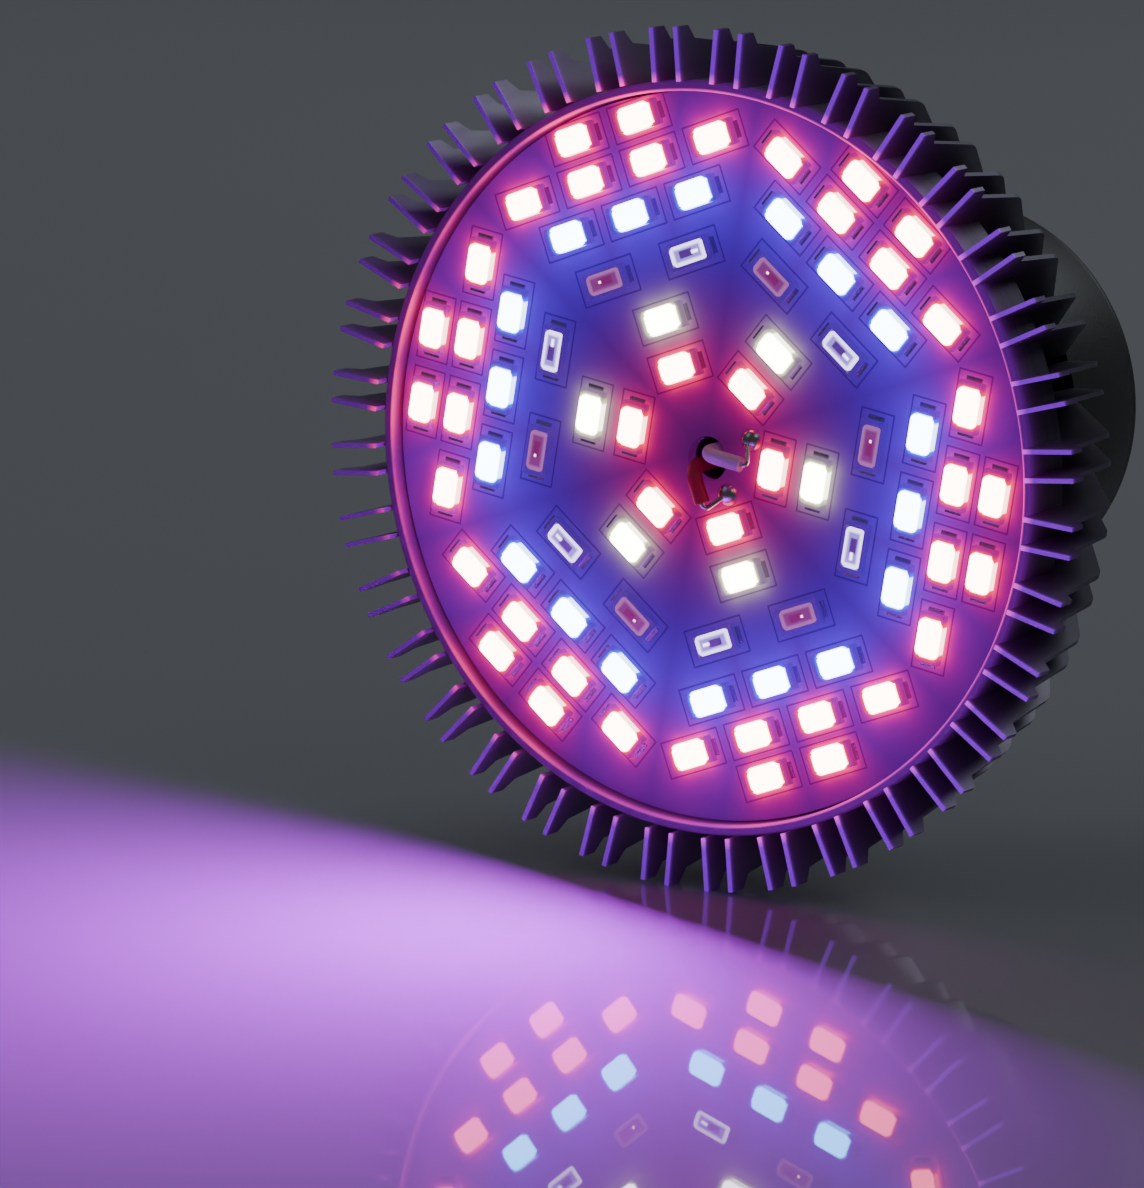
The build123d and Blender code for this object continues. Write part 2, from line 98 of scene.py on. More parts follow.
# half lengths and half widths on the board, in millimetres
BODY_HALF = (2.85, 1.5)
WINDOW_HALF = (2.3, 1.15)
OUTLINE_HALF = (3.8, 2.05)      # the line printed round a package
BRIGHT_HALF = (1.30, 0.62)      # core of a lit LED's bright patch
BRIGHT_REACH = 0.92             # the patch spreads this far round its core, so its corners are round


# ---- node helpers -------------------------------------------------------------------------


class Tree:
    """A short way to place and join the nodes of one material or node group."""

    def __init__(self, tree):
        self.tree = tree

    def node(self, kind, settings=None, **inputs):
        made = self.tree.nodes.new("ShaderNode" + kind)
        for key, value in (settings or {}).items():
            setattr(made, key, value)
        for key, value in inputs.items():
            numbered = key[0] == "i" and key[1:].isdigit()
            self.feed(made.inputs[int(key[1:]) if numbered else key.replace("_", " ")], value)
        return made

    def feed(self, socket, value):
        if isinstance(value, bpy.types.NodeSocket):
            self.tree.links.new(value, socket)
        else:
            socket.default_value = value

    def math(self, operation, *values):
        made = self.tree.nodes.new("ShaderNodeMath")
        made.operation = operation
        for socket, value in zip(made.inputs, values):
            self.feed(socket, value)
        return made.outputs[0]

    def blend(self, share, first, second):
        made = self.tree.nodes.new("ShaderNodeMix")
        made.data_type = "RGBA"
        self.feed(made.inputs[0], share)
        self.feed(made.inputs[6], first)
        self.feed(made.inputs[7], second)
        return made.outputs[2]


def new_group(name, inputs, outputs):
    """An empty node group with named inputs and outputs, and its two end nodes."""
    group = bpy.data.node_groups.new(name, "ShaderNodeTree")
    for label, kind, value in inputs:
        socket = group.interface.new_socket(label, in_out="INPUT", socket_type="NodeSocket" + kind)
        if value is not None:
            socket.default_value = value
    for label, kind in outputs:
        group.interface.new_socket(label, in_out="OUTPUT", socket_type="NodeSocket" + kind)
    start = group.nodes.new("NodeGroupInput")
    end = group.nodes.new("NodeGroupOutput")
    return group, Tree(group), start.outputs, end.inputs


def use_group(tree, group, **inputs):
    made = tree.tree.nodes.new("ShaderNodeGroup")
    made.node_tree = group
    for key, value in inputs.items():
        tree.feed(made.inputs[key.replace("_", " ")], value)
    return made.outputs


# ---- shared effects -----------------------------------------------------------------------


def make_grain_group():
    """Uneven tone, uneven gloss and fine relief, for any plain surface."""
    group, t, given, out = new_group(
        "surface_grain",
        [
            ("Tone", "Color", (0.5, 0.5, 0.5, 1)),
            ("Second Tone", "Color", (0.4, 0.4, 0.4, 1)),
            ("Stretch", "Vector", (1, 1, 1)),
            ("Scale", "Float", 400.0),
            ("Roughness", "Float", 0.5),
            ("Unevenness", "Float", 0.1),
            ("Relief", "Float", 0.1),
        ],
        [("Tone", "Color"), ("Roughness", "Float"), ("Normal", "Vector")],
    )
    coordinates = t.node("TexCoord").outputs["Object"]
    placed = t.node("Mapping", Vector=coordinates, Scale=given["Stretch"]).outputs[0]
    fine = t.node("TexNoise", Vector=placed, Scale=given["Scale"], Detail=5.0)
    broad_scale = t.math("MULTIPLY", given["Scale"], 0.11)
    broad = t.node("TexNoise", Vector=placed, Scale=broad_scale, Detail=3.0)
    cloud = t.node("MapRange", Value=broad.outputs[0], From_Min=0.35, From_Max=0.65).outputs[0]
    t.feed(out["Tone"], t.blend(cloud, given["Tone"], given["Second Tone"]))
    middle = t.math("SUBTRACT", fine.outputs[0], 0.5)
    swing = t.math("MULTIPLY", middle, given["Unevenness"])
    swing = t.math("MULTIPLY", swing, 2.0)
    t.feed(out["Roughness"], t.math("ADD", given["Roughness"], swing))
    bump = t.node("Bump", Strength=given["Relief"], Distance=0.05 * MM, Height=fine.outputs[0])
    t.feed(out["Normal"], bump.outputs[0])
    return group


def make_fold_group():
    """Turns a point on the board into its place in one half sector, in millimetres."""
    group, t, given, out = new_group(
        "sector_fold", [], [("Along", "Float"), ("Out", "Float"), ("Side", "Float")]
    )
    coordinates = t.node("TexCoord").outputs["Object"]
    centred = t.node("VectorMath", {"operation": "SUBTRACT"}, i0=coordinates, i1=PATTERN_MIDDLE[:])
    axes = t.node("SeparateXYZ", Vector=centred.outputs[0]).outputs
    x = t.math("MULTIPLY", axes["X"], 1000.0)
    z = t.math("MULTIPLY", axes["Z"], 1000.0)
    radius = t.math("SQRT", t.math("ADD", t.math("MULTIPLY", x, x), t.math("MULTIPLY", z, z)))
    angle = t.math("SUBTRACT", t.math("ARCTAN2", z, x), SECTOR_ANGLE)
    turns = t.math("DIVIDE", angle, 2 * pi / SECTORS)
    part = t.math("SUBTRACT", turns, t.math("ROUND", turns))
    local = t.math("MULTIPLY", part, 2 * pi / SECTORS)
    along = t.math("MULTIPLY", radius, t.math("SINE", local))
    t.feed(out["Along"], t.math("ABSOLUTE", along))
    t.feed(out["Out"], t.math("MULTIPLY", radius, t.math("COSINE", local)))
    t.feed(out["Side"], t.math("SIGN", along))
    return group


def make_box_group():
    """Distance to the nearest edge of a rectangle, in millimetres, negative inside it."""
    group, t, given, out = new_group(
        "box_distance",
        [
            ("Along", "Float", 0.0),
            ("Out", "Float", 0.0),
            ("Middle Along", "Float", 0.0),
            ("Middle Out", "Float", 0.0),
            ("Half Length", "Float", 1.0),
            ("Half Width", "Float", 1.0),
        ],
        [("Distance", "Float")],
    )
    far_along = t.math(
        "SUBTRACT",
        t.math("ABSOLUTE", t.math("SUBTRACT", given["Along"], given["Middle Along"])),
        given["Half Length"],
    )
    far_out = t.math(
        "SUBTRACT",
        t.math("ABSOLUTE", t.math("SUBTRACT", given["Out"], given["Middle Out"])),
        given["Half Width"],
    )
    outside_along = t.math("MAXIMUM", far_along, 0.0)
    outside_out = t.math("MAXIMUM", far_out, 0.0)
    outside = t.math(
        "SQRT",
        t.math(
            "ADD",
            t.math("MULTIPLY", outside_along, outside_along),
            t.math("MULTIPLY", outside_out, outside_out),
        ),
    )
    inside = t.math("MINIMUM", t.math("MAXIMUM", far_along, far_out), 0.0)
    t.feed(out["Distance"], t.math("ADD", outside, inside))
    return group


def make_layout_group(fold, box):
    """Distances from a point on the board to the nearest LED of each kind, and the printed outlines."""
    kinds = list(HALF_SECTOR)
    group, t, given, out = new_group(
        "led_layout",
        [("Half Length", "Float", 2.85), ("Half Width", "Float", 1.5)],
        [(kind.title(), "Float") for kind in kinds] + [("Outline", "Float")],
    )
    place = use_group(t, fold)
    outline = None
    for kind in kinds:
        nearest = None
        for middle_along, middle_out in HALF_SECTOR[kind]:
            spot = {"Along": place["Along"], "Out": place["Out"]}
            spot.update(Middle_Along=middle_along, Middle_Out=middle_out)
            body = use_group(
                t, box, Half_Length=given["Half Length"], Half_Width=given["Half Width"], **spot
            )
            line = use_group(t, box, Half_Length=OUTLINE_HALF[0], Half_Width=OUTLINE_HALF[1], **spot)
            line = t.math("ABSOLUTE", line["Distance"])
            body = body["Distance"]
            nearest = body if nearest is None else t.math("MINIMUM", nearest, body)
            outline = line if outline is None else t.math("MINIMUM", outline, line)
        t.feed(out[kind.title()], nearest)
    t.feed(out["Outline"], outline)
    return group


grain_group = make_grain_group()
fold_group = make_fold_group()
box_group = make_box_group()
layout_group = make_layout_group(fold_group, box_group)


# ---- materials ----------------------------------------------------------------------------


def new_material(name, **settings):
    """A material with its Principled shader; the settings are that shader's own sockets."""
    material = bpy.data.materials.new(name)
    material.use_nodes = True
    shader = material.node_tree.nodes["Principled BSDF"]
    for key, value in settings.items():
        shader.inputs[key.replace("_", " ")].default_value = value
    return material, Tree(material.node_tree), shader


def grained(t, shader, tone, second, scale, roughness, unevenness, relief, stretch=(1, 1, 1)):
    """Joins the shared grain to a shader's gloss and relief, and gives back its tone."""
    grain = use_group(
        t,
        grain_group,
        Tone=(*tone, 1),
        Second_Tone=(*second, 1),
        Stretch=stretch,
        Scale=scale,
        Roughness=roughness,
        Unevenness=unevenness,
        Relief=relief,
    )
    t.feed(shader.inputs["Roughness"], grain["Roughness"])
    t.feed(shader.inputs["Normal"], grain["Normal"])
    return grain["Tone"]


def grainy(name, tone, second, scale, roughness, unevenness, relief, stretch=(1, 1, 1), **settings):
    """A material whose tone, gloss and relief all come from the shared grain."""
    material, t, shader = new_material(name, **settings)
    grain_tone = grained(t, shader, tone, second, scale, roughness, unevenness, relief, stretch)
    t.feed(shader.inputs["Base Color"], grain_tone)
    return material


def bright_layout(t):
    """Distances from the cores of the lit LEDs' bright patches."""
    return use_group(t, layout_group, Half_Length=BRIGHT_HALF[0], Half_Width=BRIGHT_HALF[1])


def fading(t, value, full, none):
    """1 up to the first limit, 0 from the second on, and a straight fade between them."""
    faded = t.node("MapRange", Value=value, From_Min=full, From_Max=none, To_Min=1.0, To_Max=0.0)
    return faded.outputs[0]


def falloff(t, distance, reach):
    """1 at a lit LED's bright edge and fading with distance, in millimetres."""
    clear = t.math("MAXIMUM", t.math("SUBTRACT", distance, BRIGHT_REACH), 0.0)
    return t.math("EXPONENT", t.math("DIVIDE", clear, -reach))


def tinted(t, strength, colour):
    """A colour, times a strength that varies over the surface."""
    made = t.tree.nodes.new("ShaderNodeVectorMath")
    made.operation = "SCALE"
    made.inputs[0].default_value = colour
    t.feed(made.inputs["Scale"], strength)
    return made.outputs[0]


def added(t, *colours):
    total = colours[0]
    for colour in colours[1:]:
        total = t.node("VectorMath", {"operation": "ADD"}, i0=total, i1=colour).outputs[0]
    return total


def led_light(t, layout, red, blue, white):
    """The LEDs' own light as it falls on something close to them."""
    return added(
        t,
        tinted(t, falloff(t, layout["Red"], 0.55), (2.0 * red, 0.0, 0.01 * red)),
        tinted(t, falloff(t, layout["Red"], 2.8), (0.42 * red, 0.0, 0.05 * red)),
        tinted(t, falloff(t, layout["Blue"], 1.2), (0.0, 0.0, 0.30 * blue)),
        tinted(t, falloff(t, layout["Blue"], 6.0), (0.02 * blue, 0.0, 0.85 * blue)),
        tinted(t, falloff(t, layout["White"], 0.8), (0.60 * white, 0.60 * white, 0.28 * white)),
        tinted(t, falloff(t, layout["White"], 3.0), (0.08 * white, 0.02 * white, 0.08 * white)),
    )


PRINT_LINE = (0.05, 0.13)       # a printed line's half width, and where it has faded out
PRINT_DIMMING = 0.55


def lit_board():
    """White solder mask with printed outlines, lit by the LEDs' own light."""
    material, t, shader = new_material(
        "lit solder mask",
        Specular_IOR_Level=0.25,
        Coat_Weight=0.08,
        Coat_Roughness=0.20,
        Emission_Strength=1.0,
    )
    layout = bright_layout(t)
    # the white mask's tone is painted dark purple: painted shade with a tint of the LEDs' light
    tone = grained(t, shader, (0.040, 0.022, 0.055), (0.030, 0.018, 0.042), 900.0, 0.38, 0.12, 0.12)
    printed = fading(t, layout["Outline"], *PRINT_LINE)
    mask = t.blend(t.math("MULTIPLY", printed, 0.8), tone, (0.02, 0.015, 0.03, 1))
    t.feed(shader.inputs["Base Color"], mask)
    # painted light: the LEDs' light on the board is painted in as glow, dimmed under the print
    glow = added(t, led_light(t, layout, 1.0, 1.0, 1.0), painted_board_glow(t))
    dimmed = t.node("VectorMath", {"operation": "SCALE"}, i0=glow)
    t.feed(dimmed.inputs["Scale"], t.math("SUBTRACT", 1.0, t.math("MULTIPLY", printed, PRINT_DIMMING)))
    t.feed(shader.inputs["Emission Color"], dimmed.outputs[0])
    return material


RED_MIDDLE = (4 * MM, 19 * MM)  # how far the redder light of the board's middle reaches


def painted_board_glow(t):
    """Painted light: the purple of all the LEDs together, painted on the board as glow, redder in the
    middle and slightly cloudy.
    """
    coordinates = t.node("TexCoord").outputs["Object"]
    cloud = t.node("TexNoise", Vector=coordinates, Scale=45.0, Detail=2.0).outputs[0]
    share = t.node("MapRange", Value=cloud, From_Min=0.3, From_Max=0.7, To_Min=0.8, To_Max=1.2)
    share = share.outputs[0]
    radius = t.node("VectorMath", {"operation": "DISTANCE"}, i0=coordinates, i1=PATTERN_MIDDLE[:])
    middle = fading(t, radius.outputs["Value"], *RED_MIDDLE)
    return added(
        t,
        tinted(t, share, (0.032, 0.0, 0.070)),
        tinted(t, t.math("MULTIPLY", middle, share), (0.26, 0.0, 0.20)),
    )


BLAZES = {
    # white-hot colour, the same as a mirror shows it, colour of its edge, and the width of that edge
    "Red": ((16.0, 11.5, 9.5), (7.0, 0.9, 1.3), (1.9, 0.0, 0.02), 0.34),
    "Blue": ((9.5, 13.0, 16.0), (0.9, 5.5, 12.0), (0.02, 0.12, 2.4), 0.34),
    "White": ((16.0, 16.0, 12.5), (9.0, 9.0, 9.0), (1.3, 1.4, 0.7), 0.40),
}


def blaze(t, kind, layout, under):
    """Adds one kind of lit LED to what is under it: white-hot, round-cornered, with a coloured edge."""
    direct, mirrored, edge, width = BLAZES[kind]
    hot = t.blend(t.node("LightPath").outputs["Is Glossy Ray"], (*direct, 1), (*mirrored, 1))
    rim_share = fading(t, layout[kind], BRIGHT_REACH, BRIGHT_REACH + width)
    hot_share = fading(t, layout[kind], BRIGHT_REACH - 0.20, BRIGHT_REACH + 0.02)
    return t.blend(hot_share, t.blend(rim_share, under, (*edge, 1)), hot)


def lit_housing():
    """White LED resin, blazing round the lit windows and dim round the others."""
    material, t, shader = new_material("lit LED resin", Emission_Strength=1.0)
    layout = bright_layout(t)
    # the white resin's tone is painted dark purple: painted shade with a tint of the LEDs' light
    tone = grained(t, shader, (0.10, 0.07, 0.13), (0.08, 0.055, 0.11), 1200.0, 0.40, 0.10, 0.10)
    t.feed(shader.inputs["Base Color"], tone)
    # partly the package's own light, partly painted light: the other LEDs' light and an even purple
    # glow
    glow = added(t, led_light(t, layout, 0.45, 0.7, 0.7), tinted(t, 1.0, (0.035, 0.004, 0.07)))
    for kind in BLAZES:
        glow = blaze(t, kind, layout, glow)
    t.feed(shader.inputs["Emission Color"], glow)
    return material


def lit_window(name, kind):
    """A lit LED window: white-hot in the middle, coloured at its edge."""
    edge = BLAZES[kind][2]
    material, t, shader = new_material(
        name, Base_Color=(0.3, 0.3, 0.3, 1), Roughness=0.25, Emission_Strength=1.0
    )
    t.feed(shader.inputs["Emission Color"], blaze(t, kind, bright_layout(t), (*edge, 1)))
    return material


def faint_window(name, filling, frame_light, well, die, spot, spot_place, spot_half):
    """A window of mostly unseen light: a pale frame, a darker well, the die and one bright spot."""
    material, t, shader = new_material(
        name, Base_Color=(*filling, 1), Roughness=0.2, Emission_Strength=1.0
    )
    place = use_group(t, fold_group)
    spot_on = {"Along": place["Along"], "Out": place["Out"]}

    def box(along, out, half_length, half_width, soft):
        distance = use_group(
            t,
            box_group,
            Middle_Along=PALE_OFFSET + along,
            Middle_Out=PALE + out,
            Half_Length=half_length,
            Half_Width=half_width,
            **spot_on,
        )["Distance"]
        return fading(t, distance, -soft, soft)

    light = t.blend(box(0, 0, 1.75, 0.72, 0.14), (*frame_light, 1), (*well, 1))
    light = t.blend(box(-0.25, 0.05, 0.85, 0.42, 0.06), light, (*die, 1))
    light = t.blend(box(*spot_place, *spot_half, 0.08), light, (*spot, 1))
    t.feed(shader.inputs["Emission Color"], light)
    return material


def lit_metal(name, tone, second, stretch, front, edge_depth, body_depth, rim_glint_radii, edge_light):
    """Bare aluminium with the LEDs' light painted on as glow: most on its front edges, least far behind
    them.
    """
    material = grainy(
        name, tone, second, 500, 0.48, 0.10, 0.18, stretch=stretch, Metallic=0.75, Emission_Strength=1.0
    )
    t = Tree(material.node_tree)
    shader = material.node_tree.nodes["Principled BSDF"]
    layout = bright_layout(t)
    axes = t.node("SeparateXYZ", Vector=t.node("TexCoord").outputs["Object"]).outputs
    # painted light: glow strongest at the front edges, fading with depth behind them
    depth = t.math("MULTIPLY", t.math("SUBTRACT", axes["Y"], front), 1000.0)
    depth = t.math("MAXIMUM", depth, 0.0)
    edge = t.math("EXPONENT", t.math("DIVIDE", depth, -edge_depth))
    body = t.math("EXPONENT", t.math("DIVIDE", depth, -body_depth))
    x_squared = t.math("MULTIPLY", axes["X"], axes["X"])
    z_squared = t.math("MULTIPLY", axes["Z"], axes["Z"])
    radius = t.math("MULTIPLY", t.math("SQRT", t.math("ADD", x_squared, z_squared)), 1000.0)
    line = fading(t, radius, *rim_glint_radii)
    # the painted light is weaker on the ring's left side
    side = t.node(
        "MapRange", Value=axes["X"], From_Min=-40 * MM, From_Max=4 * MM, To_Min=0.16, To_Max=1.0
    ).outputs[0]
    # painted red glints near the red LEDs, and a painted bright line round the rim at the given radii
    red = falloff(t, layout["Red"], 2.4)
    on_edge = t.math("MULTIPLY", edge, side)
    light = added(
        t,
        tinted(t, t.math("MULTIPLY", t.math("MULTIPLY", red, line), edge), (3.2, 0.10, 0.12)),
        tinted(t, t.math("MULTIPLY", line, on_edge), (0.45, 0.03, 0.50)),
        tinted(t, on_edge, edge_light),
        tinted(t, t.math("MULTIPLY", red, body), (0.13, 0.0, 0.03)),
        tinted(t, body, (0.018, 0.001, 0.040)),
    )
    t.feed(shader.inputs["Emission Color"], light)
    return material


materials = {
    # both metals glow with painted LED light, and the purple in their tones is a painted tint of that
    # light
    "cup": lit_metal(
        "turned aluminium with painted LED light", (0.105, 0.085, 0.125), (0.080, 0.066, 0.100), (1, 12, 1),
        rim_front, 0.7, 1.6, (40.62, 40.86), (0.05, 0.0, 0.13),
    ),
    "fins": lit_metal(
        "rolled aluminium sheet with painted LED light", (0.17, 0.155, 0.20), (0.12, 0.11, 0.15), (1, 0.12, 1),
        fin_front, 0.20, 3.2, (41.9, 42.9), (0.17, 0.0, 0.62),
    ),
    "solder_mask": lit_board(),
    "thermal_pad": grainy(
        "silicone pad", (0.45, 0.50, 0.58), (0.40, 0.44, 0.52), 600, 0.85, 0.08, 0.3
    ),
    "led_body": lit_housing(),
    "solder": grainy(
        "bright solder", (0.72, 0.72, 0.74), (0.55, 0.55, 0.58), 1500, 0.22, 0.12, 0.35, Metallic=1.0
    ),
    "red_light": lit_window("lit red window", "Red"),
    "blue_light": lit_window("lit blue window", "Blue"),
    "white_light": lit_window("lit white window", "White"),
    "violet_window": faint_window(
        "faint violet window", (0.30, 0.26, 0.42), (2.2, 2.0, 3.2), (0.42, 0.30, 1.20),
        (0.05, 0.01, 0.16), (3.5, 3.2, 4.5), (0.95, 0.0), (0.42, 0.16),
    ),
    "dark_red_window": faint_window(
        "faint red window", (0.20, 0.05, 0.12), (0.42, 0.14, 0.44), (0.20, 0.035, 0.20),
        (0.19, 0.010, 0.12), (6.0, 3.4, 4.2), (0.55, 0.1), (0.12, 0.10),
    ),
    "red_insulation": grainy(
        "red insulation", (0.55, 0.03, 0.05), (0.45, 0.02, 0.04), 900, 0.42, 0.10, 0.1
    ),
    "white_insulation": grainy(
        "white insulation", (0.78, 0.78, 0.78), (0.70, 0.70, 0.70), 900, 0.42, 0.10, 0.1
    ),
    "black_plastic": grainy(
        "moulded black plastic", (0.022, 0.022, 0.024), (0.030, 0.030, 0.033), 2600, 0.45, 0.12, 0.5
    ),
    "screw_steel": grainy(
        "zinc plated steel", (0.60, 0.60, 0.60), (0.50, 0.50, 0.52), 900, 0.35, 0.12, 0.2, Metallic=1.0
    ),
    "circuit_board": grainy(
        "green circuit board", (0.05, 0.20, 0.08), (0.04, 0.16, 0.07), 700, 0.45, 0.10, 0.1
    ),
    "ferrite": grainy("dull ferrite", (0.05, 0.05, 0.055), (0.08, 0.08, 0.085), 1200, 0.7, 0.1, 0.4),
    "capacitor_sleeve": grainy(
        "capacitor sleeve", (0.02, 0.03, 0.09), (0.03, 0.04, 0.11), 600, 0.3, 0.1, 0.1
    ),
    "chip_resin": grainy("chip resin", (0.02, 0.02, 0.022), (0.03, 0.03, 0.032), 1500, 0.6, 0.1, 0.3),
    "resistor_body": grainy(
        "painted resistor", (0.25, 0.42, 0.34), (0.20, 0.36, 0.30), 900, 0.5, 0.1, 0.2
    ),
    "nickel": grainy(
        "nickel plate", (0.68, 0.66, 0.61), (0.60, 0.58, 0.54), 500, 0.22, 0.10, 0.12, Metallic=1.0
    ),
    "black_glass": grainy(
        "black glass", (0.012, 0.012, 0.014), (0.020, 0.020, 0.022), 300, 0.08, 0.04, 0.05
    ),
    "contact_metal": grainy(
        "tinned brass", (0.66, 0.60, 0.46), (0.58, 0.54, 0.44), 900, 0.30, 0.12, 0.25, Metallic=1.0
    ),
    "lead_insulation": grainy(
        "black insulation", (0.05, 0.05, 0.055), (0.07, 0.07, 0.075), 900, 0.45, 0.1, 0.1
    ),
}

slot_of = {part["node"]: part["material_slot"] for part in frame["record"]["subparts"]}
for name, cad_object in frame["nodes"].items():
    cad_object.data.materials.clear()
    cad_object.data.materials.append(materials[slot_of[name]])


# ---- new pieces ---------------------------------------------------------------------------

# these glow, and the board's own lamp stands for the light that they throw
LIT_SLOTS = ("led_body", "red_light", "blue_light", "white_light")


def finish_piece(name, mesh, slot, *replaced):
    """Turns a bmesh into a piece that rides on the body and stands for CAD nodes."""
    data = bpy.data.meshes.new(name)
    mesh.to_mesh(data)
    mesh.free()
    piece = bpy.data.objects.new(name, data)
    bpy.context.scene.collection.objects.link(piece)
    data.materials.append(materials[slot])
    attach(piece, "root")
    if replaced:
        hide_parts(*replaced)
    piece.visible_diffuse = slot not in LIT_SLOTS
    return piece


def shade_smooth(piece, angle):
    """Smooth shading, with edges sharper than the angle kept crisp."""
    for polygon in piece.data.polygons:
        polygon.use_smooth = True
    piece.data.set_sharp_from_angle(angle=radians(angle))


def led_spots(kind, side=None):
    """Where the LEDs of a kind sit: a matrix for each, with local X along the row and -Y outwards."""
    spots = []
    for sector in range(SECTORS):
        angle = SECTOR_ANGLE + sector * 2 * pi / SECTORS
        outward = Vector((cos(angle), 0, sin(angle)))
        row = Vector((-sin(angle), 0, cos(angle)))
        for along, out in HALF_SECTOR[kind]:
            for mirror in (1, -1):
                if (along == 0 and mirror < 0) or (side is not None and mirror != side):
                    continue
                place = PATTERN_MIDDLE + (row * along * mirror + outward * out) * MM
                turned = Matrix((row, Vector((0, -1, 0)), outward)).transposed().to_4x4()
                spots.append(Matrix.Translation((place.x, board_front, place.z)) @ turned)
    return spots


def repeat(template, spots):
    """One bmesh holding a copy of the template at every spot."""
    data = bpy.data.meshes.new("template")
    template.to_mesh(data)
    template.free()
    whole = bmesh.new()
    for spot in spots:
        before = len(whole.verts)
        whole.from_mesh(data)
        whole.verts.ensure_lookup_table()
        bmesh.ops.transform(whole, matrix=spot, verts=whole.verts[before:])
    bpy.data.meshes.remove(data)
    bmesh.ops.recalc_face_normals(whole, faces=whole.faces)
    return whole


def block(length, height, width, base=0.0):
    """A box standing on the board: length along the row, height off the board, in millimetres."""
    mesh = bmesh.new()
    bmesh.ops.create_cube(mesh, size=1)
    bmesh.ops.scale(mesh, vec=(length * MM, height * MM, width * MM), verts=mesh.verts)
    bmesh.ops.translate(mesh, vec=(0, (base + height / 2) * MM, 0), verts=mesh.verts)
    return mesh


def upright_edges(mesh):
    """The edges that stand square to the board."""
    upright = []
    for edge in mesh.edges:
        run = (edge.verts[0].co - edge.verts[1].co).normalized()
        if abs(run.y) > 0.99:
            upright.append(edge)
    return upright


def bevel(mesh, edges, width, segments):
    bmesh.ops.bevel(
        mesh, geom=edges, offset=width * MM, offset_type="OFFSET", segments=segments, profile=0.5,
        affect="EDGES", material=-1,
    )


LED_HEIGHT = (board_front - led_top) / MM
WELL_DEPTH = 0.28
FILLING_RISE = 0.18             # of a filling's rim above the bottom of the well
FILLING_THICKNESS = 0.30


def led_body():
    """One package: a bevelled frame with sloping sides down to its window."""
    mesh = block(2 * BODY_HALF[0], LED_HEIGHT, 2 * BODY_HALF[1])
    front = max(mesh.faces, key=lambda face: face.calc_center_median().y)
    margin = (BODY_HALF[1] - WINDOW_HALF[1]) * MM
    bmesh.ops.inset_region(mesh, faces=[front], thickness=margin, use_even_offset=True)
    stretch = (WINDOW_HALF[0] * MM) / max(abs(vert.co.x) for vert in front.verts)
    bmesh.ops.scale(mesh, vec=(stretch, 1, 1), verts=front.verts)
    bmesh.ops.inset_region(mesh, faces=[front], thickness=0.10 * MM, depth=-WELL_DEPTH * MM)
    bevel(mesh, upright_edges(mesh), 0.18, 2)
    return mesh


def led_window():
    """The clear filling in a package's well, with rounded ends and a slightly domed front."""
    base = LED_HEIGHT - WELL_DEPTH + FILLING_RISE - FILLING_THICKNESS
    mesh = block(2 * WINDOW_HALF[0], FILLING_THICKNESS, 2 * WINDOW_HALF[1], base)
    bevel(mesh, upright_edges(mesh), 0.7, 4)
    front = max(mesh.faces, key=lambda face: face.calc_center_median().y)
    bmesh.ops.inset_region(mesh, faces=[front], thickness=0.22 * MM, depth=0.05 * MM)
    return mesh


every_spot = [spot for kind in HALF_SECTOR for spot in led_spots(kind)]
bodies = finish_piece("led_packages", repeat(led_body(), every_spot), "led_body", "led_housings")
shade_smooth(bodies, 35)
for name, slot, kind, side, node in (
    ("red_fillings", "red_light", "red", None, "red_windows"),
    ("blue_fillings", "blue_light", "blue", None, "blue_windows"),
    ("white_fillings", "white_light", "white", None, "white_windows"),
    ("ultraviolet_fillings", "violet_window", "pale", -1, "ultraviolet_windows"),
    ("infrared_fillings", "dark_red_window", "pale", 1, "infrared_windows"),
):
    filling = finish_piece(name, repeat(led_window(), led_spots(kind, side)), slot, node)
    shade_smooth(filling, 35)


def rolled_shell():
    """The screw cap's thin shell with its round rolled thread."""
    low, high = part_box("screw_shell")
    crest = (high.x - low.x) / 2
    root = crest - 1.0 * MM
    pitch = 3.629 * MM
    skirt, taper, end_radius = 1.6 * MM, 1.8 * MM, 10.4 * MM
    sheet = 0.3 * MM
    length = high.y - low.y
    rows, turn_steps = 70, 96
    mesh = bmesh.new()
    line = [mesh.verts.new((root, low.y + length * row / rows, 0)) for row in range(rows + 1)]
    edges = [mesh.edges.new(pair) for pair in zip(line, line[1:])]
    bmesh.ops.spin(
        mesh, geom=line + edges, cent=(0, 0, 0), axis=(0, 1, 0), angle=2 * pi, steps=turn_steps,
        use_merge=True,
    )
    for vert in mesh.verts:
        along = vert.co.y - low.y
        turn = atan2(vert.co.z, vert.co.x)
        wave = 0.5 + 0.5 * cos(2 * pi * along / pitch + turn)
        # the thread runs out over its first and last turn
        from_skirt = min(1.0, max(0.0, (along - skirt) / pitch))
        to_taper = min(1.0, max(0.0, (length - taper - along) / pitch))
        fade = from_skirt * to_taper
        radius = root + (crest - root) * wave**1.4 * min(1.0, 1.8 * fade)
        closing = max(0.0, (along - (length - taper)) / taper)
        radius -= (root - end_radius) * closing**1.5
        scale = radius / sqrt(vert.co.x**2 + vert.co.z**2)
        vert.co.x *= scale
        vert.co.z *= scale
    bmesh.ops.recalc_face_normals(mesh, faces=mesh.faces)
    bmesh.ops.solidify(mesh, geom=mesh.faces[:], thickness=sheet)
    return mesh


shell = finish_piece("rolled_screw_shell", rolled_shell(), "nickel", "screw_shell")
shade_smooth(shell, 50)

# ---- floor, lights and camera -------------------------------------------------------------


FLOOR_RADIUS = 6.0


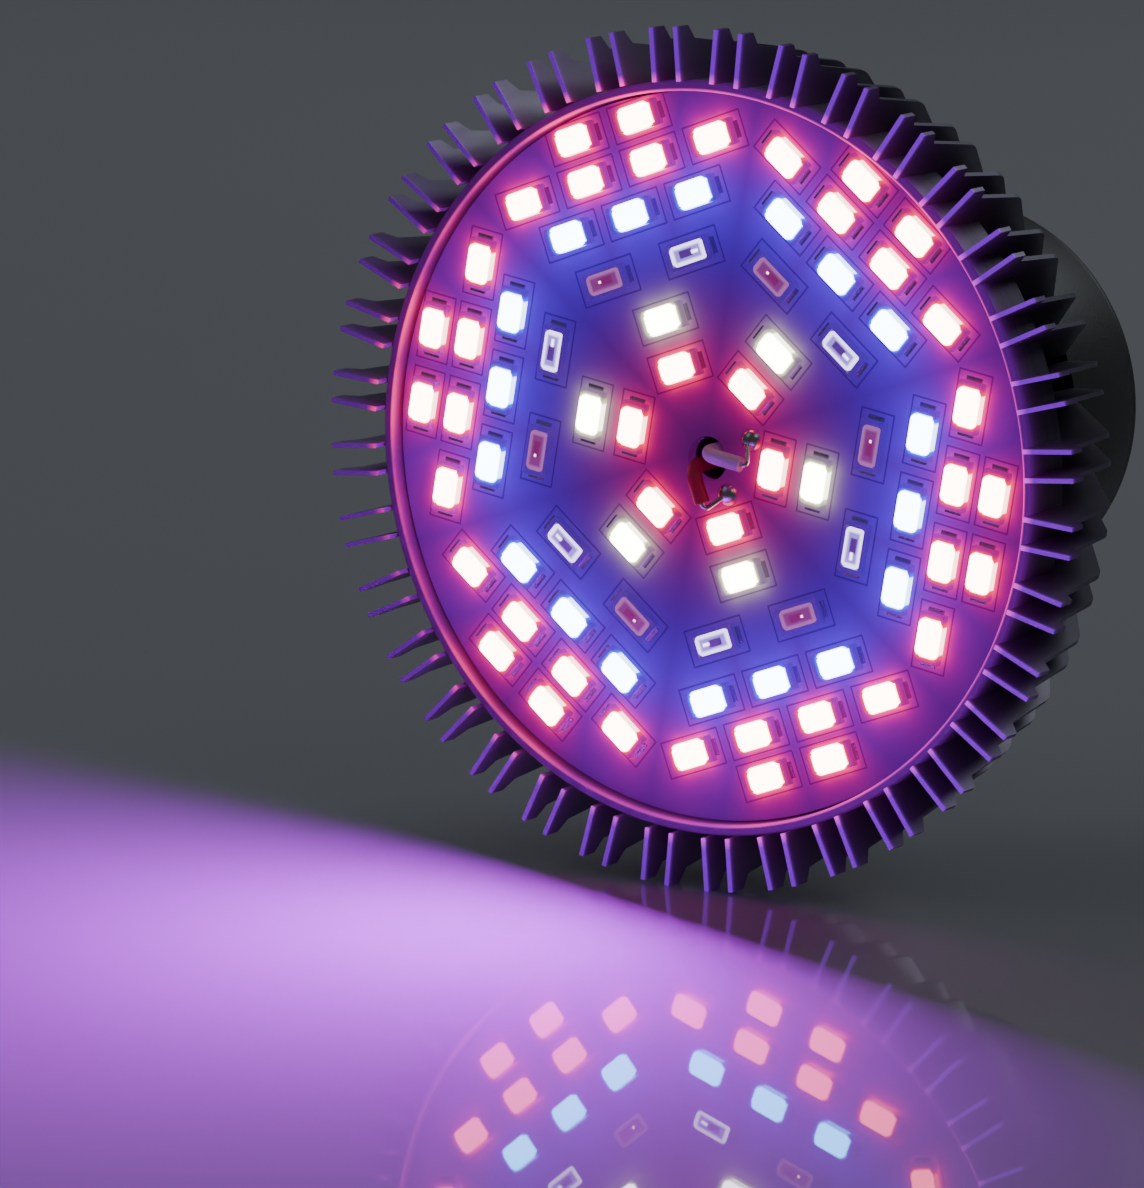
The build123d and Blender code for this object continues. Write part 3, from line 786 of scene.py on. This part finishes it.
def add_floor():
    mesh = bmesh.new()
    bmesh.ops.create_circle(mesh, cap_ends=True, segments=96, radius=FLOOR_RADIUS)
    bmesh.ops.translate(mesh, verts=mesh.verts, vec=(0, 0, floor_height))
    data = bpy.data.meshes.new("floor")
    mesh.to_mesh(data)
    mesh.free()
    floor = bpy.data.objects.new("floor", data)
    bpy.context.scene.collection.objects.link(floor)
    floor.data.materials.append(
        grainy(
            "pale floor", (0.42, 0.43, 0.45), (0.395, 0.405, 0.425), 20, 0.014, 0.004, 0.0,
            Specular_IOR_Level=0.30,
        )
    )


def add_lamp(name, place, direction, size, power, colour):
    """A round, soft area light."""
    light = bpy.data.lights.new(name, "AREA")
    light.shape = "DISK"
    light.size = size
    light.energy = power
    light.color = colour
    lamp = bpy.data.objects.new(name, light)
    lamp.location = place
    lamp.rotation_euler = Vector(direction).to_track_quat("-Z", "Y").to_euler()
    bpy.context.scene.collection.objects.link(lamp)
    return lamp


STUDIO_LAMPS = (
    # name, place, diameter, power, colour
    ("key", (-0.9, -1.1, 1.3), 1.2, 0.7, (0.90, 0.92, 1.0)),
    ("fill", (1.1, -0.6, 1.2), 0.9, 0.7, (0.95, 0.95, 1.0)),
    ("rim", (0.5, 1.25, 1.0), 0.9, 5.0, (0.88, 0.95, 1.0)),
    ("side", (-1.1, 0.6, 1.0), 0.9, 2.2, (0.90, 0.95, 1.0)),
)
BOARD_LAMP_SETBACK = 13 * MM    # in front of the LEDs
BOARD_LAMP_AIM = (-0.40, -0.91, -0.02)


def add_lights():
    """The studio's lamps, turned to the object, and the purple light that the whole board throws."""
    for name, place, size, power, colour in STUDIO_LAMPS:
        add_lamp(name, place, -Vector(place), size, power, colour)
    place = (0, led_top - BOARD_LAMP_SETBACK, 0)
    size = 1.2 * board_radius
    lamp = add_lamp("board_light", place, BOARD_LAMP_AIM, size, 0.72, (0.55, 0.0, 1.0))
    lamp.visible_camera = False
    lamp.visible_glossy = False


def add_world():
    world = bpy.data.worlds.new("studio")
    world.use_nodes = True
    background = world.node_tree.nodes["Background"]
    background.inputs["Color"].default_value = (0.80, 0.84, 0.92, 1)
    background.inputs["Strength"].default_value = 0.055
    bpy.context.scene.world = world


VIEW_AZIMUTH = radians(32.8)
VIEW_ELEVATION = radians(10.2)
CAMERA_DISTANCE = 0.823
AIM_RIGHT, AIM_UP = -0.0140, -0.0159    # of the middle of the LED pattern
LENS = 228.0


def add_camera():
    back = Vector(
        (
            sin(VIEW_AZIMUTH) * cos(VIEW_ELEVATION),
            -cos(VIEW_AZIMUTH) * cos(VIEW_ELEVATION),
            sin(VIEW_ELEVATION),
        )
    )
    right = Vector((cos(VIEW_AZIMUTH), sin(VIEW_AZIMUTH), 0))
    up = back.cross(right)
    middle = Vector((PATTERN_MIDDLE.x, led_top, PATTERN_MIDDLE.z))
    aim = middle + right * AIM_RIGHT + up * AIM_UP
    data = bpy.data.cameras.new("camera")
    data.lens = LENS
    data.clip_start = 0.01
    data.clip_end = 50.0
    camera = bpy.data.objects.new("camera", data)
    camera.matrix_world = Matrix.Translation(aim + back * CAMERA_DISTANCE) @ Matrix(
        (right, up, back)
    ).transposed().to_4x4()
    bpy.context.scene.collection.objects.link(camera)
    bpy.context.scene.camera = camera


add_floor()
add_world()
add_lights()
add_camera()
